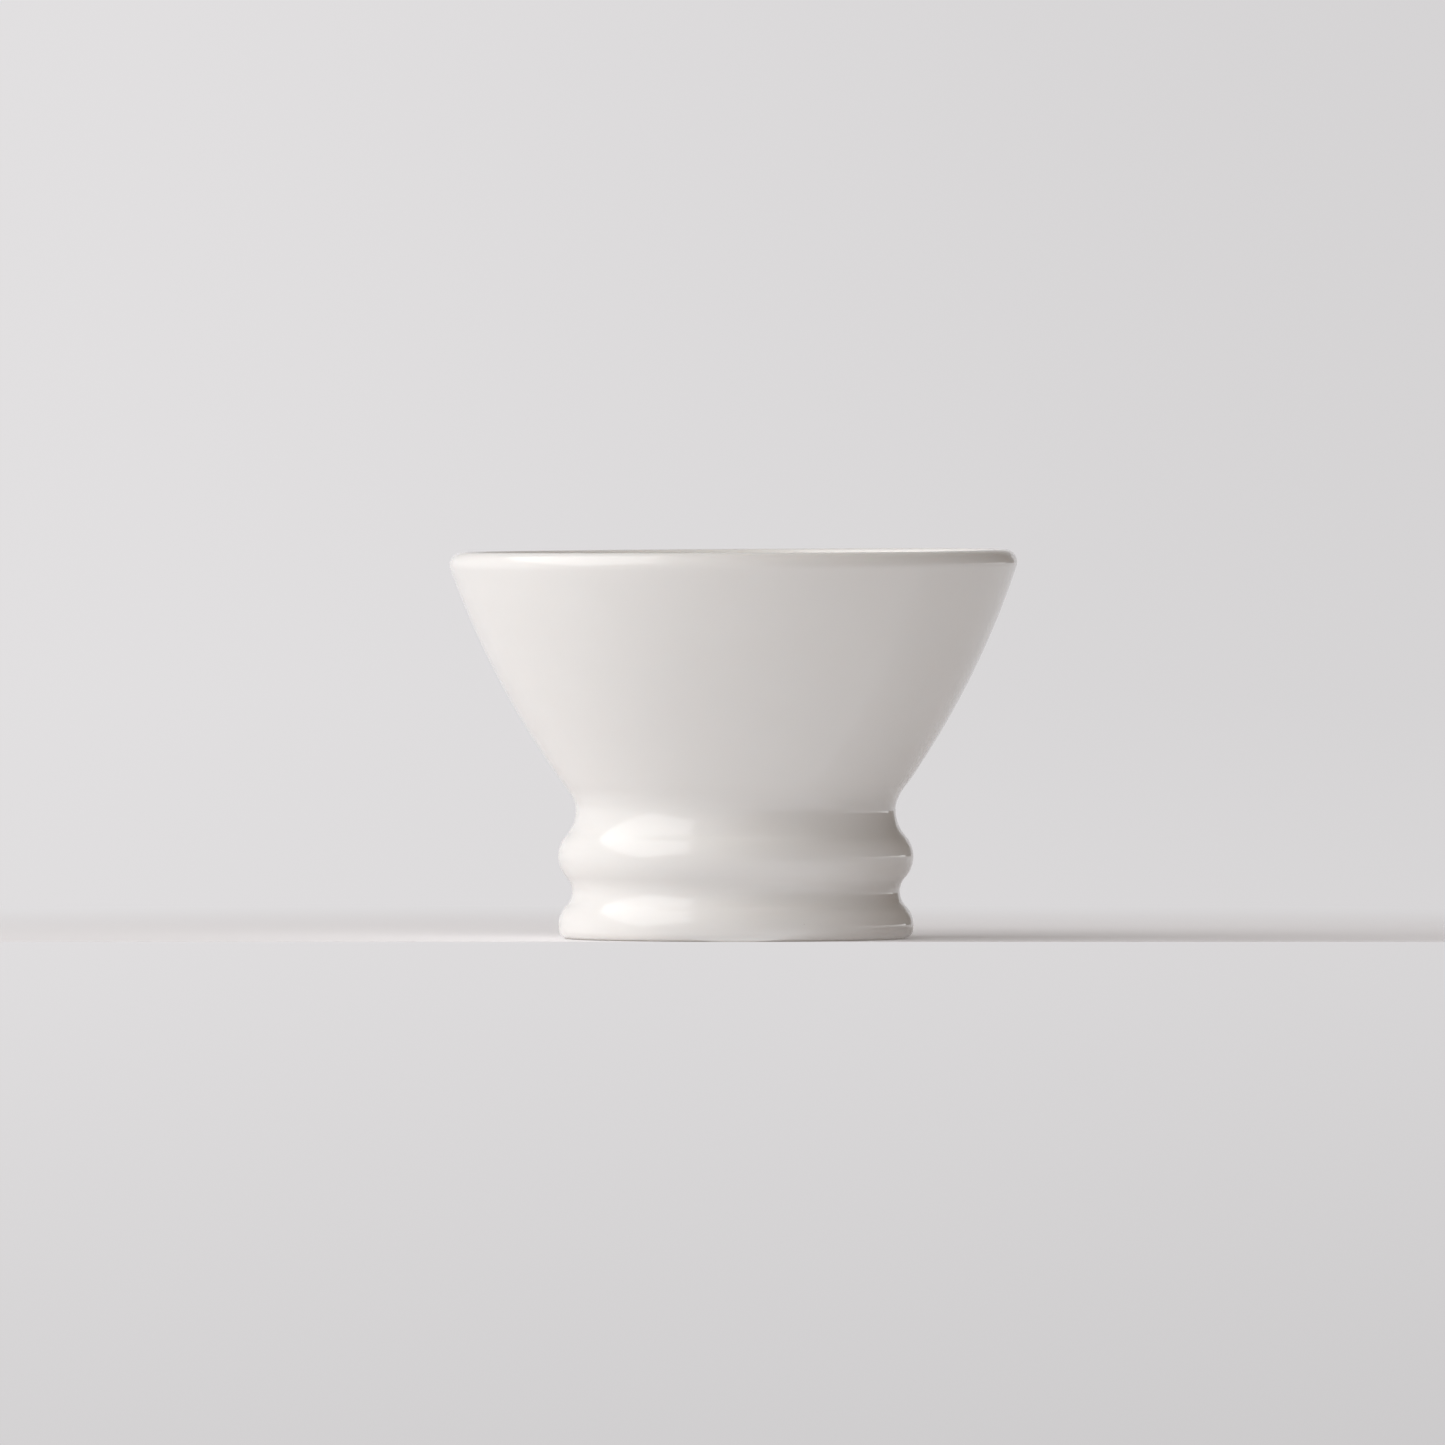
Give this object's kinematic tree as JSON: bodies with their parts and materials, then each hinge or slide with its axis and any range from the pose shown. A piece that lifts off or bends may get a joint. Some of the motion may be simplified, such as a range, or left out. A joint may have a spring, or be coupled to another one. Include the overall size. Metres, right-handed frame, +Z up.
{
  "type": "pour over dripper",
  "caption": "Flat-bottomed porcelain pour-over coffee dripper with a swelling cup, a two-ringed hollow foot and a fluted paper filter that lifts out.",
  "frame": {"origin": "on the turning axis, at the plane that the foot ring rests on", "axes": "+Z up along the turning axis, out of the cup's mouth; +X through the middle of one drip hole of the outer ring"},
  "size_m": [0.118, 0.118, 0.081],
  "materials": {
    "porcelain": "glossy warm white glaze, bare fired foot ring",
    "filter_paper": "matte creped paper"
  },
  "bodies": {
    "dripper": {"porcelain_body": "porcelain"},
    "filter": {"paper_filter": "filter_paper"}
  },
  "joints": [
    {"name": "filter_lift", "type": "slide", "parent": "dripper", "child": "filter", "axis": [0, 0, 1], "range_m": [0, 0.06]}
  ]
}
